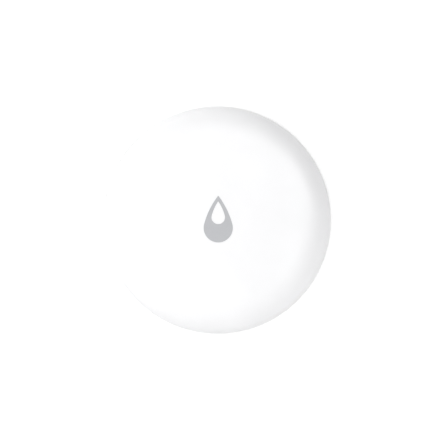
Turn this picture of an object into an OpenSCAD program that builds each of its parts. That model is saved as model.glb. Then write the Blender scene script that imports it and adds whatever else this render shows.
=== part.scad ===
// Water leak sensor: a domed push cap over a sealed inner frame, on a base with
// two probe screws, a twist-off battery door and a coin cell.
// Millimetres. The floor is z = 0, +Z is up, the tip of the drop points to +Y.

/* [Body] */
// Outside diameter at the widest point
body_d = 50; // [45:0.5:60]
// Height from the floor to the middle of the crown
body_h = 15; // [13.5:0.25:18]
// Radius of the rounded side above the widest point
side_r = 7; // [6.5:0.25:7.5]
// Rise of the crown above the rounded side
crown_rise = 1; // [0.6:0.1:1.4]
// Distance that the foot edge is drawn in from the widest point
foot_inset = 3.75; // [3.25:0.25:4.25]
// Gap under the base that lets water reach the probes
foot_gap = 0.7; // [0.6:0.1:1]

/* [Push cap] */
// Wall of the push cap
cap_wall = 1.3; // [1.2:0.1:1.8]
// Downward travel of the push cap
press_travel = 0.3; // [0.2:0.05:0.4]
// Room left in the seam when the cap is fully pressed
seam_reserve = 0.2; // [0.1:0.05:0.4]
// Depth of the cap's rim below the widest point
rim_drop = 1.6; // [1.5:0.1:2]
// Bevel on the rims that face each other across the seam
rim_bevel = 0.25; // [0.1:0.05:0.4]
// Drop of the flat light seat below the cap's inner face
seat_drop = 0.3; // [0.2:0.05:0.5]

/* [Snap hooks] */
// Angle that each hook spans
hook_span = 16; // [10:1:24]
// Play of a hook in its notch, in degrees
hook_play = 1; // [0.5:0.25:2]
// Height of a hook's nose
hook_h = 1.3; // [0.9:0.1:1.4]
// Radial bite of a nose under the collar
hook_bite = 0.6; // [0.5:0.1:0.9]
// Depth of the collar's notches that the hooks slide in
hook_reach = 0.9; // [0.8:0.1:1.4]
// Room between a nose and the frame's skirt
hook_room = 0.3; // [0.2:0.05:0.5]

/* [Drop pictogram] */
// Radius of the drop's round belly
drop_r = 3.19; // [2.8:0.05:3.6]
// Distance from the middle of the belly to the tip
drop_tip = 7.06; // [6.4:0.05:8]
// Place of the belly's middle along Y
drop_y = -1.72; // [-2.2:0.02:-1.4]
// Radius of the island inside the drop
island_r = 1.48; // [1:0.05:1.6]
// Distance from the middle of the island to its tip
island_tip = 3.5; // [2.6:0.05:3.8]
// Place of the island's middle along Y
island_y = 0.59; // [0.4:0.02:0.8]
// Angle above the belly's middle where the side arcs begin
drop_blend = 15; // [10:1:18]
// Thickness of the inlay at the middle of the crown
inlay_t = 1.1; // [1:0.05:1.2]

/* [Light guide] */
// Thickness of the guide's disc
guide_t = 1; // [0.8:0.1:1.2]
// Gap between the disc and the clamp ring round it
guide_room = 0.6; // [0.4:0.05:1]
// Radius of the peg that lights the inlay
peg_r = 1.3; // [0.9:0.05:1.4]
// Distance of the peg below the middle of the belly
peg_drop = 1.38; // [1.2:0.02:1.5]
// Radius of the plunger over the membrane
plunger_r = 2; // [1.5:0.1:2.5]

/* [Coin cell] */
// Diameter of the coin cell
cell_d = 20; // [16:0.5:20.5]
// Thickness of the coin cell
cell_h = 3.2; // [2.5:0.1:3.4]
// Distance of the negative lid's edge from the can's edge
lid_inset = 1.1; // [0.9:0.05:1.5]
// Width of the ring between the lid and the can
gasket_w = 0.35; // [0.25:0.05:0.5]
// Drop of the can's crimped edge below the lid
crimp_drop = 0.35; // [0.25:0.05:0.5]
// Depth of the lid inside the can
lid_depth = 0.6; // [0.5:0.05:0.9]
// Bevel on the can's lower edge
can_bevel = 0.3; // [0.2:0.05:0.4]

/* [Cell contacts] */
// Space for the negative leaf between the cell and the board
contact_space = 0.65; // [0.6:0.05:0.9]
// Thickness of the leaves
leaf_t = 0.15; // [0.1:0.05:0.2]
// Width of the leaves
leaf_w = 4; // [2:0.5:5]
// Length of a leaf's foot on the board
leaf_foot = 2.4; // [2:0.1:2.8]
// Reach of the negative leaf from the axis
leaf_reach = 8; // [6:0.5:9]

/* [Battery well] */
// Gap between the cell and the well's ribs
cell_gap = 0.2; // [0.1:0.05:0.3]
// Gap between the cell and the door's bore
bore_gap = 0.5; // [0.4:0.05:0.9]
// Room between the door's lugs and the well
well_gap = 0.5; // [0.4:0.05:0.8]
// Wall of the well
well_wall = 0.9; // [0.8:0.1:1.2]
// Drop of the well's top below the top of the cell
well_drop = 0.4; // [0.2:0.05:0.6]
// Angle that each rib in the well spans
rib_span = 10; // [6:1:14]

/* [Battery door] */
// Thickness of the door's plate
door_t = 1.3; // [1.2:0.1:1.6]
// Lip of the plate outside its sealing groove
door_lip = 0.45; // [0.4:0.05:0.7]
// Thickness of the ledge that the lugs grip
ledge_t = 0.6; // [0.6:0.1:0.9]
// Height of the lugs
lug_h = 0.6; // [0.5:0.05:0.8]
// Radial reach of the lugs past the bore
lug_reach = 0.6; // [0.5:0.05:0.8]
// Angle that each lug spans
lug_span = 24; // [18:1:28]
// Turn from locked to unlocked
door_twist = 40; // [34:1:46]
// Angle that each stop block spans
stop_span = 4; // [3:0.5:6]
// Play of the lugs at their notches and stops, in degrees
lug_play = 1; // [0.5:0.25:2]
// Land between the notches and the sealing groove
groove_land = 0.2; // [0.15:0.05:0.4]
// Wall of the plug round its hollow
plug_wall = 0.9; // [0.7:0.1:1.2]
// Width of the plug's hollow
hollow_w = 1.2; // [0.8:0.1:1.6]

/* [Door marks] */
// Width of the coin slot
slot_w = 1.7; // [1.4:0.1:2.2]
// Length of the coin slot
slot_l = 14; // [10:0.5:16]
// Depth of the coin slot
slot_depth = 0.8; // [0.6:0.1:1.1]
// Length of the pointer's sides
pointer_l = 1.6; // [1.2:0.1:2]
// Radius of the dot that marks the locked place
mark_r = 0.5; // [0.3:0.05:0.6]
// Distance of the pointer and the marks from the door's edge
mark_gap = 1.2; // [1.1:0.1:1.6]
// Depth of the pointer and the marks
mark_depth = 0.2; // [0.1:0.05:0.3]

/* [Base] */
// Wall of the base's side
base_wall = 1.6; // [1.3:0.1:1.8]
// Radius of the moulded feet
pip_r = 2; // [1.5:0.1:2.5]
// Wall of the posts round the frame screws
post_wall = 0.9; // [0.7:0.1:1]
// Room between the well and the posts
post_land = 1.3; // [1:0.1:1.4]
// Reach of the locating pin above the board
pin_rise = 0.4; // [0.2:0.1:0.6]

/* [Probes] */
// Diameter of a probe screw's head
head_d = 4.6; // [4.4:0.1:5.4]
// Bevel on a head's lower edge
head_bevel = 0.3; // [0.2:0.05:0.5]
// Depth that a head is sunk into the base
head_sink = 0.6; // [0.4:0.05:0.7]
// Diameter of a probe screw's shank
shank_d = 2.5; // [2:0.1:2.8]
// Length of the cross recess
cross_l = 2.6; // [2:0.1:3.4]
// Width of the cross recess
cross_w = 0.7; // [0.5:0.05:0.9]
// Depth of the cross recess
cross_depth = 0.6; // [0.4:0.05:0.8]
// Land between the bosses round the standoffs and the frame's skirt
probe_land = 0.3; // [0.2:0.05:0.7]
// Wall of the brass standoffs
standoff_wall = 0.4; // [0.35:0.05:0.5]
// Wall of the base's bosses round the standoffs
boss_wall = 0.6; // [0.5:0.05:0.8]
// Drop of those bosses below the board
boss_drop = 0.8; // [0.4:0.1:1.2]
// Thickness of the base between a probe's seal and its standoff
seal_web = 0.2; // [0.15:0.05:0.3]
// Wall that closes the top of a standoff
standoff_top = 0.5; // [0.3:0.05:0.8]
// Room between a screw's end and the end of its thread
thread_room = 0.3; // [0.2:0.05:0.6]

/* [Board and switch] */
// Thickness of the circuit board
board_t = 0.8; // [0.8:0.1:1.2]
// Gap between the board's edge and the frame's skirt
board_gap = 0.45; // [0.3:0.05:0.6]
// Width of the switch
switch_w = 5.2; // [4.5:0.1:5.6]
// Height of the switch from the board to the top of its stem
switch_h = 1.5; // [1.5:0.05:1.9]
// Height that the stem stands out of the switch's cover
stem_rise = 0.25; // [0.2:0.05:0.3]
// Radius of the stem
stem_r = 1.2; // [0.9:0.05:1.4]
// Width of the flange that keeps the stem in
flange_w = 0.3; // [0.2:0.05:0.4]
// Height of that flange
flange_h = 0.3; // [0.2:0.05:0.4]
// Gap round the stem and its flange
stem_gap = 0.1; // [0.05:0.01:0.12]

/* [Inner frame] */
// Wall of the frame's skirt
skirt_wall = 1; // [0.9:0.1:1.6]
// Thickness of the frame's deck
deck_t = 1.1; // [1:0.1:1.3]
// Thickness of the guide collar
collar_t = 1; // [0.8:0.1:1.2]
// Radius of the posts that press the board on the standoffs
press_post_r = 1.5; // [1:0.1:2]
// Radius of a frame screw's shank
tapper_r = 0.8; // [0.6:0.05:0.9]
// Length of a frame screw's shank
tapper_l = 6; // [5:0.25:7]
// Overhang of a frame screw's head
tapper_lip = 0.6; // [0.4:0.05:0.8]
// Height of a frame screw's head
tapper_head_h = 0.8; // [0.6:0.05:0.9]
// Wall of the frame's bosses round the screw heads
tapper_wall = 0.7; // [0.5:0.05:0.8]

/* [Membrane] */
// Radius of the opening under the membrane
open_r = 6; // [5.5:0.1:6.5]
// Width of the seat round the opening
seat_w = 2.2; // [1.8:0.1:2.4]
// Thickness of the membrane
membrane_t = 0.45; // [0.4:0.05:0.6]
// Thickness of the membrane's flexing ring
flex_t = 0.25; // [0.2:0.05:0.35]
// Radius of the stiff middle of the membrane
stiff_r = 2.6; // [2.2:0.1:3]
// Height of the nub over the switch's stem
nub_h = 0.35; // [0.3:0.05:0.6]
// Height of the button under the plunger
button_h = 0.4; // [0.3:0.05:0.5]
// Thickness of the clamp ring
ring_t = 0.45; // [0.4:0.05:0.7]
// Radius of the melted stakes that hold the clamp ring
stake_r = 0.6; // [0.4:0.05:0.7]
// Overhang of a stake's head
stake_lip = 0.4; // [0.3:0.05:0.5]
// Height of a stake's head
stake_h = 0.35; // [0.25:0.05:0.5]
// Land between the seat and a stake's head
stake_land = 0.2; // [0.1:0.05:0.4]

/* [Seals] */
// Thickness of the door's sealing ring
door_seal_d = 0.7; // [0.6:0.05:0.9]
// Thickness of the probes' sealing rings
probe_seal_d = 0.56; // [0.4:0.02:0.6]
// Height of the main seal
main_seal_h = 1; // [0.8:0.1:1.2]
// Depth of the main seal's groove
main_groove = 0.5; // [0.4:0.05:0.6]

/* [Clearances] */
// Radial gap between the cap and the guide collar
guide_gap = 0.3; // [0.2:0.05:0.4]
// Gap that keeps moving faces apart at the end of their travel
run_gap = 0.25; // [0.15:0.05:0.35]
// Radial gap round parts that turn
turn_gap = 0.15; // [0.1:0.05:0.2]
// Gap between parts that meet at rest
rest_gap = 0.05; // [0.03:0.01:0.08]
// Gap between a part and its bore or pocket
fit_gap = 0.02; // [0.01:0.01:0.04]

/* [Hidden] */
$fn = 96;

// Longer than any length here, for cuts that go right through
far = 2 * body_d;
// How far joined shapes reach into each other
sink = 0.3;

// Outer form: a crown arc, a side arc and an arc down to the foot edge
body_r = body_d / 2;
belt_z = body_h - side_r - crown_rise;
side_x = body_r - side_r;
crown_r = (pow(side_r + crown_rise, 2) + pow(side_x, 2) - pow(side_r, 2)) / (2 * crown_rise);
crown_z = body_h - crown_r;
crown_angle = atan2(side_x, belt_z - crown_z);
lean_l = 2 * side_r;
lean = [side_x + lean_l * sin(crown_angle), belt_z + lean_l * cos(crown_angle)];
foot_r = (pow(foot_inset, 2) + pow(belt_z - foot_gap, 2)) / (2 * foot_inset);
foot_x = body_r - foot_r;

// Seam between the cap and the base
cap_rim_z = belt_z - rim_drop;
base_rim_z = cap_rim_z - press_travel - seam_reserve;

// Radii from the cap inwards to the board
collar_r = body_r - cap_wall - guide_gap;
notch_r = collar_r - hook_reach;
nose_r = notch_r - hook_bite;
skirt_ro = nose_r - hook_room;
skirt_ri = skirt_ro - skirt_wall;
board_r = skirt_ri - board_gap;

// Radii from the coin cell outwards to the door
cell_r = cell_d / 2;
lid_r = cell_r - lid_inset;
bore_r = cell_r + bore_gap;
plug_r = bore_r - turn_gap;
lug_r = bore_r + lug_reach;
lug_notch_r = lug_r + turn_gap;
well_ri = lug_r + well_gap;
well_ro = well_ri + well_wall;
door_groove_ri = lug_notch_r + groove_land;
door_groove_ro = door_groove_ri + door_seal_d + 2 * rest_gap;
door_r = door_groove_ro + door_lip;
door_bore_r = door_r + turn_gap;

// Probes, set against the frame's skirt, and posts, set against the well
head_r = head_d / 2;
head_bore_r = head_r + turn_gap;
shank_r = shank_d / 2;
standoff_r = shank_r + standoff_wall;
probe_x = skirt_ri - probe_land - boss_wall - standoff_r;
post_r = tapper_r + post_wall;
post_x = well_ro + post_land + post_r;

// Heights from the floor up
base_z = foot_gap;
door_top = base_z + door_t;
ledge_z = door_top + rest_gap;
floor_z = ledge_z + ledge_t;
lug_z = floor_z + rest_gap;
plug_top = lug_z + lug_h;
cell_z = plug_top + rest_gap;
cell_top = cell_z + cell_h;
well_top = cell_top - well_drop;
board_z = cell_top + contact_space;
board_top = board_z + board_t;
stem_top = board_top + switch_h;
nub_z = stem_top + rest_gap;
seat_z = nub_z + nub_h;
deck_top = seat_z + membrane_t;
deck_z = deck_top - deck_t;
button_top = deck_top + button_h;
ring_top = deck_top + ring_t;
guide_top = body_h - cap_wall - seat_drop;
guide_z = guide_top - guide_t;
inlay_z = body_h - inlay_t;
main_seal_z = floor_z - main_groove;
skirt_z = main_seal_z + main_seal_h;

// Probe screws, from the head up
head_top = foot_gap + head_sink;
seal_groove_h = probe_seal_d + 2 * fit_gap;
standoff_z = head_top + seal_groove_h + seal_web;
thread_top = board_z - standoff_top;
shank_top = thread_top - thread_room;

// Drop, light guide and clamp ring
guide_r = open_r - guide_room;
seat_boss_r = guide_r + seat_drop;
peg_y = drop_y - peg_drop;
side_steps = 12;
belly_steps = 48;
stake_head_r = stake_r + stake_lip;
stake_x = open_r + seat_w + stake_land + stake_head_r;
ring_ro = stake_x + stake_head_r;

// Frame screws
tapper_head_r = tapper_r + tapper_lip;
tapper_z = deck_top - tapper_head_h;

// Switch
cover_z = stem_top - stem_rise - leaf_t;
stem_flange_r = stem_r + flange_w;
flange_top = cover_z - stem_gap;
switch_bore_z = flange_top - flange_h - press_travel - rest_gap;

// How many of each, and the angle of the first
hook_count = 3;
hook_start = 30;
lug_count = 3;
lug_start = 60;
screw_count = 3;
screw_start = 90;
stake_count = 3;
stake_start = 30;
rib_count = 4;
pointer_turn = 65;

// Small parts on the board: radial, tangential and vertical size
radio_size = [6, 6, 0.85];
crystal_size = [2.5, 3.2, 0.7];
antenna_size = [2, 7, 1];
sense_size = [3, 3, 0.9];
led_size = [0.8, 1.6, 0.6];
passive_size = [0.5, 1, 0.35];
terminal_size = [0.9, 0.7, 0.15];
passive_count = 7;
passive_step = 9;

// Where they sit: angle on the board and distance from the axis
chip_inset = 1.5;
crystal_shift = 1.5;
led_inset = 1.4;
outer_row = 1;
inner_row = 2;
chip_x = (open_r + board_r) / 2 - chip_inset;
radio_at = [45, chip_x];
crystal_at = [10, chip_x + crystal_shift];
antenna_at = [150, board_r - antenna_size[0] - board_gap];
sense_at = [225, chip_x];
led_at = [270, open_r - led_inset];
passives_at = [[250, chip_x + outer_row], [85, chip_x - inner_row]];

// Which way the leaf contacts point, and the length of the turned-up tip
negative_turn = 200;
positive_turn = 45;
leaf_tip = 1;

// The section under the crown arc, up to the line where the side arc takes over
module crown(inset) {
    intersection() {
        translate([0, crown_z]) circle(crown_r - inset, $fn = 720);
        polygon([[0, belt_z], [side_x, belt_z], lean, [0, lean[1]]]);
    }
}

// Half of the section through the body, drawn in by inset all round
module pebble(inset) {
    crown(inset);
    intersection() {
        translate([side_x, belt_z]) circle(side_r - inset);
        polygon([[side_x, belt_z], [side_x + lean_l, belt_z], [side_x + lean_l, lean[1]], lean]);
    }
    intersection() {
        translate([foot_x, belt_z]) circle(foot_r - inset);
        translate([foot_x, base_z]) square([foot_r, belt_z - base_z]);
    }
    translate([0, base_z]) square([foot_x, belt_z - base_z]);
}

// The part of the section between two heights
module pebble_slice(inset, z0, z1) {
    intersection() {
        pebble(inset);
        translate([0, z0]) square([far, z1 - z0]);
    }
}

// Radius of the outer form at a height below the widest point
function foot_side(z) = foot_x + sqrt(pow(foot_r, 2) - pow(belt_z - z, 2));

// A bevel on the outer corner of a rim that faces down (1) or up (-1)
module rim_cut(z, side) {
    r = foot_side(z);
    polygon([
        [r - rim_bevel, z - side * sink],
        [r - rim_bevel, z],
        [r + sink, z + side * (rim_bevel + sink)],
        [r + sink, z - side * sink]
    ]);
}

// Outline of a water drop: up its right side arc to the tip, down the left one, round the belly
function drop_outline(belly, tip, inset) =
    let (
        reach = (pow(tip, 2) - pow(belly, 2)) / (2 * (belly - tip * sin(drop_blend))),
        arc_r = reach + belly - inset,
        tip_turn = acos(reach * cos(drop_blend) / arc_r) - drop_blend,
        right = [
            for (i = [0 : side_steps])
                let (a = drop_blend + tip_turn * i / side_steps)
                    arc_r * [cos(a), sin(a)] - reach * [cos(drop_blend), sin(drop_blend)]
        ],
        left = [for (i = [side_steps - 1 : -1 : 0]) [-right[i][0], right[i][1]]],
        round = [
            for (i = [1 : belly_steps - 1])
                let (a = 180 - drop_blend + (180 + 2 * drop_blend) * i / belly_steps)
                    (belly - inset) * [cos(a), sin(a)]
        ]
    )
    concat(right, left, round);

module drop(belly, tip, inset) {
    polygon(drop_outline(belly, tip, inset));
}

// The drop with its island left open
module drop_ring(inset) {
    difference() {
        translate([0, drop_y]) drop(drop_r, drop_tip, inset);
        translate([0, island_y]) drop(island_r, island_tip, -inset);
    }
}

module disc(r, z0, z1) {
    translate([0, 0, z0]) cylinder(r = r, h = z1 - z0);
}

module ring(r0, r1, z0, z1) {
    translate([0, 0, z0]) linear_extrude(z1 - z0) difference() {
        circle(r1);
        circle(r0);
    }
}

// A piece of a ring, centred on the angle mid
module ring_part(r0, r1, z0, z1, mid, span) {
    rotate([0, 0, mid - span / 2]) rotate_extrude(angle = span)
        translate([r0, z0]) square([r1 - r0, z1 - z0]);
}

module o_ring(r, thick, z) {
    translate([0, 0, z]) rotate_extrude() translate([r, 0]) circle(thick / 2);
}

// A cross cut into a face at height z
module cross_recess(z, length, width, depth) {
    for (turn = [0, 90]) rotate([0, 0, turn])
        translate([-length / 2, -width / 2, z - depth]) cube([length, width, 2 * depth]);
}

// Copies spread evenly round the axis
module around(count, start) {
    for (i = [0 : count - 1])
        rotate([0, 0, start + i * 360 / count]) children();
}

module at_probes() {
    for (side = [-1, 1]) translate([side * probe_x, 0, 0]) children();
}

module at_frame_screws() {
    around(screw_count, screw_start) translate([post_x, 0, 0]) children();
}

module at_stakes() {
    around(stake_count, stake_start) translate([stake_x, 0, 0]) children();
}

// The post at the front that has a locating pin in place of a screw
module at_pin() {
    translate([0, -post_x, 0]) children();
}

// A box on the board, with its middle at an angle and a distance from the axis
module on_board(place, size) {
    rotate([0, 0, place[0]]) translate([place[1] - size[0] / 2, -size[1] / 2, board_top]) cube(size);
}

module press_cap() {
    color("white") difference() {
        union() {
            rotate_extrude() difference() {
                pebble_slice(0, cap_rim_z, far);
                pebble_slice(cap_wall, 0, far);
                rim_cut(cap_rim_z, 1);
            }
            disc(seat_boss_r, guide_top, body_h - cap_wall);
            around(hook_count, hook_start) snap_hook();
        }
        translate([0, 0, inlay_z]) linear_extrude(far) drop_ring(0);
        translate([0, peg_y, 0]) disc(peg_r + rest_gap, guide_top - sink, inlay_z + sink);
    }
}

// A rib on the cap's wall with a nose that reaches under the collar
module snap_hook() {
    nose_top = belt_z - rest_gap;
    nose_z = nose_top - hook_h;
    rotate([0, 0, -hook_span / 2]) rotate_extrude(angle = hook_span) intersection() {
        pebble(cap_wall / 2);
        polygon([
            [notch_r + guide_gap, body_h], [notch_r + guide_gap, nose_top],
            [nose_r, nose_top], [nose_r, nose_z + hook_h / 2], [notch_r, nose_z],
            [body_r, nose_z], [body_r, body_h]
        ]);
    }
}

module drop_inlay() {
    color("silver") intersection() {
        translate([0, 0, inlay_z]) linear_extrude(inlay_t + sink) drop_ring(fit_gap);
        rotate_extrude() crown(0);
    }
}

module light_guide() {
    color("aliceblue") {
        disc(guide_r, guide_z, guide_top);
        disc(plunger_r, button_top + rest_gap, guide_z + sink);
        translate([0, peg_y, 0]) disc(peg_r, guide_top - sink, inlay_z);
    }
}

module seal_membrane() {
    color("gainsboro") {
        difference() {
            disc(open_r + seat_w - rest_gap, seat_z, deck_top);
            ring(stiff_r, open_r - membrane_t, seat_z - sink, deck_top - flex_t);
        }
        disc(stem_r, nub_z, seat_z + membrane_t / 2);
        disc(plunger_r, seat_z + membrane_t / 2, button_top);
    }
}

module membrane_clamp_ring() {
    color("whitesmoke") difference() {
        ring(open_r, ring_ro, deck_top, ring_top);
        at_stakes() disc(stake_r + rest_gap, deck_top - sink, ring_top + sink);
    }
}

module inner_frame() {
    color("lightgray") difference() {
        union() {
            rotate_extrude() intersection() {
                union() {
                    translate([skirt_ri, skirt_z]) square([skirt_wall, deck_top - skirt_z]);
                    translate([open_r, deck_z]) square([skirt_ro - open_r, deck_t]);
                }
                pebble(cap_wall + press_travel + guide_gap);
            }
            guide_collar();
            at_frame_screws() disc(tapper_head_r + tapper_wall, board_top, deck_z + sink);
            at_probes() disc(press_post_r, board_top, deck_z + sink);
            at_stakes() {
                disc(stake_r, deck_top - sink, ring_top + stake_h);
                disc(stake_head_r, ring_top + fit_gap, ring_top + stake_h);
            }
        }
        disc(open_r + seat_w, seat_z, deck_top + sink);
        at_frame_screws() {
            disc(tapper_r + rest_gap, 0, far);
            disc(tapper_head_r + rest_gap, tapper_z, far);
        }
    }
}

// The collar that guides the cap, notched where the snap hooks pass
module guide_collar() {
    difference() {
        ring(skirt_ri + skirt_wall / 2, collar_r, belt_z, belt_z + collar_t);
        around(hook_count, hook_start)
            ring_part(notch_r, body_r, belt_z - sink, belt_z + collar_t + sink, 0,
                hook_span + 2 * hook_play);
    }
}

module frame_screws() {
    color("silver") at_frame_screws() difference() {
        union() {
            disc(tapper_r, tapper_z - tapper_l, tapper_z + sink);
            disc(tapper_head_r, tapper_z, deck_top);
        }
        cross_recess(deck_top, 1.2 * tapper_head_r, tapper_r / 2, tapper_head_h / 2);
    }
}

module main_seal() {
    color("slategray") ring(skirt_ri, skirt_ro, main_seal_z, skirt_z);
}

module base_shell() {
    color("white") difference() {
        union() {
            rotate_extrude() difference() {
                pebble_slice(0, base_z, base_rim_z);
                pebble_slice(base_wall, floor_z, far);
                rim_cut(base_rim_z, -1);
            }
            ring(well_ri, well_ro, floor_z - sink, well_top);
            around(rib_count, 0)
                ring_part(cell_r + cell_gap, well_ri + sink, cell_z + run_gap, well_top, 0, rib_span);
            around(lug_count, lug_start) {
                door_stop(lug_span / 2 + lug_play + stop_span / 2);
                door_stop(-door_twist - lug_span / 2 - lug_play - stop_span / 2);
            }
            at_frame_screws() disc(post_r, floor_z - sink, board_z);
            at_probes() disc(standoff_r + boss_wall, floor_z - sink, board_z - boss_drop);
            at_pin() {
                disc(post_r, floor_z - sink, board_z);
                disc(tapper_r, board_z - sink, board_top + pin_rise);
            }
            rotate([0, 0, 90]) at_probes() disc(pip_r, 0, base_z + sink);
        }
        disc(door_bore_r, -sink, ledge_z);
        disc(bore_r, 0, floor_z + sink);
        around(lug_count, lug_start - door_twist)
            ring_part(plug_r, lug_notch_r, 0, floor_z + sink, 0, lug_span + 2 * lug_play);
        ring(skirt_ri - rest_gap, skirt_ro + rest_gap, main_seal_z, far);
        at_frame_screws() disc(tapper_r + fit_gap, tapper_z - tapper_l - thread_room, far);
        at_probes() {
            disc(head_bore_r, -sink, head_top);
            disc(shank_r + probe_seal_d + 3 * fit_gap, 0, head_top + seal_groove_h);
            disc(shank_r + rest_gap, 0, far);
            disc(standoff_r + fit_gap, standoff_z, far);
        }
        at_mark(0) disc(mark_r, 0, base_z + mark_depth);
        at_mark(-door_twist) ring(mark_r, mark_r + mark_depth, 0, base_z + mark_depth);
    }
}

// A block beside a lug's path, at an angle from the locked lug
module door_stop(angle) {
    ring_part(bore_r + rest_gap, well_ri + sink, floor_z - sink, plug_top, angle, stop_span);
}

// A place on the base's underside, at an angle from the locked pointer
module at_mark(angle) {
    rotate([0, 0, pointer_turn + angle]) translate([door_bore_r + mark_gap, 0, 0]) children();
}

module battery_door() {
    hollow_ro = plug_r - plug_wall;
    color("white") difference() {
        union() {
            disc(door_r, base_z, door_top);
            disc(plug_r, door_top - sink, plug_top);
            around(lug_count, lug_start) ring_part(plug_r - sink, lug_r, lug_z, plug_top, 0, lug_span);
        }
        ring(door_groove_ri, door_groove_ro, door_top - door_seal_d - rest_gap, door_top + sink);
        ring(hollow_ro - hollow_w, hollow_ro, door_top, plug_top + sink);
        coin_slot();
        rotate([0, 0, pointer_turn]) translate([door_r - mark_gap, 0, 0])
            cylinder(r = pointer_l / sqrt(3), h = base_z + mark_depth, $fn = 3);
    }
}

module coin_slot() {
    run = slot_l - slot_w;
    linear_extrude(base_z + slot_depth) {
        square([run, slot_w], center = true);
        for (side = [-1, 1]) translate([side * run / 2, 0]) circle(slot_w / 2);
    }
}

module door_seal() {
    color("slategray")
        o_ring((door_groove_ri + door_groove_ro) / 2, door_seal_d, door_top - door_seal_d / 2);
}

module battery_can() {
    color("silver") rotate_extrude() difference() {
        translate([0, cell_z]) square([cell_r, cell_h - crimp_drop]);
        translate([0, cell_top - lid_depth]) square([lid_r + gasket_w, cell_h]);
        polygon([
            [cell_r - can_bevel, cell_z], [cell_r + sink, cell_z - sink],
            [cell_r + sink, cell_z + can_bevel + sink]
        ]);
    }
}

module battery_gasket() {
    color("dimgray") ring(lid_r, lid_r + gasket_w, cell_top - lid_depth, cell_top - crimp_drop / 2);
}

module battery_negative_lid() {
    color("gainsboro") disc(lid_r, cell_top - lid_depth, cell_top);
}

// A leaf from the board's underside down to the middle of the cell
module negative_contact() {
    tip_z = cell_top + fit_gap;
    tip_rise = contact_space / 3;
    foot_x0 = leaf_reach - leaf_foot;
    color("goldenrod") rotate([0, 0, negative_turn]) rotate([90, 0, 0])
        linear_extrude(leaf_w, center = true) polygon([
            [leaf_reach, board_z], [leaf_reach, board_z - leaf_t], [foot_x0, board_z - leaf_t],
            [0, tip_z], [-leaf_tip, tip_z + tip_rise], [-leaf_tip, tip_z + tip_rise + leaf_t],
            [0, tip_z + leaf_t], [foot_x0, board_z]
        ]);
}

// A leaf from the board's underside down the side of the cell
module positive_contact() {
    leg_r = cell_r + rest_gap;
    leg_z = cell_z + cell_h / 4;
    color("goldenrod") rotate([0, 0, positive_turn]) rotate([90, 0, 0])
        linear_extrude(leaf_w, center = true) polygon([
            [leg_r, board_z], [leg_r + leaf_foot, board_z], [leg_r + leaf_foot, board_z - leaf_t],
            [leg_r + leaf_t, board_z - leaf_t], [leg_r + leaf_t, leg_z], [leg_r, leg_z]
        ]);
}

module main_board() {
    color("seagreen") difference() {
        disc(board_r, board_z, board_top);
        at_frame_screws() disc(tapper_r + stem_gap, 0, far);
        at_pin() disc(tapper_r + rest_gap, 0, far);
    }
}

module radio_chip() {
    dot_r = radio_size[0] / 20;
    dot_inset = radio_size[0] * 0.4;
    dot_z = board_top + radio_size[2] - dot_r / 3;
    color("dimgray") difference() {
        on_board(radio_at, radio_size);
        rotate([0, 0, radio_at[0]]) translate([radio_at[1] - dot_inset, -dot_inset, dot_z])
            cylinder(r = dot_r, h = sink);
    }
}

module clock_crystal() {
    color("silver") on_board(crystal_at, crystal_size);
}

module chip_antenna() {
    color("ivory") on_board(antenna_at, antenna_size);
}

module sense_chip() {
    color("dimgray") on_board(sense_at, sense_size);
}

module status_led() {
    color("lightyellow") on_board(led_at, led_size);
}

module board_passives() {
    color("tan") for (row = passives_at, i = [0 : passive_count - 1])
        on_board(row + [i * passive_step, 0], passive_size);
}

module switch_body() {
    color("dimgray") difference() {
        translate([-switch_w / 2, -switch_w / 2, board_top])
            cube([switch_w, switch_w, cover_z - board_top]);
        disc(stem_flange_r + stem_gap, switch_bore_z, far);
    }
}

// A metal plate over the switch with a tab down each of two sides
module switch_cover() {
    tab_w = switch_w * 0.4;
    tab_h = (cover_z - board_top) / 2;
    color("silver") {
        difference() {
            translate([-switch_w / 2, -switch_w / 2, cover_z]) cube([switch_w, switch_w, leaf_t]);
            disc(stem_r + stem_gap, 0, far);
        }
        for (side = [0, 180]) rotate([0, 0, side])
            translate([switch_w / 2, -tab_w / 2, cover_z - tab_h]) cube([leaf_t, tab_w, tab_h + leaf_t]);
    }
}

module switch_stem() {
    color("tan") {
        disc(stem_r, flange_top - flange_h / 2, stem_top);
        disc(stem_flange_r, flange_top - flange_h, flange_top);
    }
}

module switch_terminals() {
    color("silver") for (x = [0, 1], y = [-1, 1])
        mirror([x, 0]) translate([switch_w / 2, y * switch_w / 3 - terminal_size[1] / 2, board_top])
            cube(terminal_size);
}

module probe_screws() {
    color("silver") at_probes() difference() {
        union() {
            rotate_extrude() polygon([
                [0, 0], [head_r - head_bevel, 0], [head_r, head_bevel], [head_r, head_top], [0, head_top]
            ]);
            disc(shank_r, head_top - sink, shank_top);
        }
        cross_recess(0, cross_l, cross_w, cross_depth);
    }
}

module probe_standoffs() {
    color("goldenrod") at_probes() difference() {
        disc(standoff_r, standoff_z, board_z);
        disc(shank_r + fit_gap, 0, thread_top);
    }
}

module probe_seals() {
    color("slategray") at_probes()
        o_ring(shank_r + fit_gap + seal_groove_h / 2, probe_seal_d, head_top + seal_groove_h / 2);
}

press_cap();
drop_inlay();
light_guide();
seal_membrane();
membrane_clamp_ring();
inner_frame();
frame_screws();
main_seal();
base_shell();
battery_door();
door_seal();
battery_can();
battery_gasket();
battery_negative_lid();
negative_contact();
positive_contact();
main_board();
radio_chip();
clock_crystal();
chip_antenna();
sense_chip();
status_led();
board_passives();
switch_body();
switch_cover();
switch_stem();
switch_terminals();
probe_screws();
probe_standoffs();
probe_seals();
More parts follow.
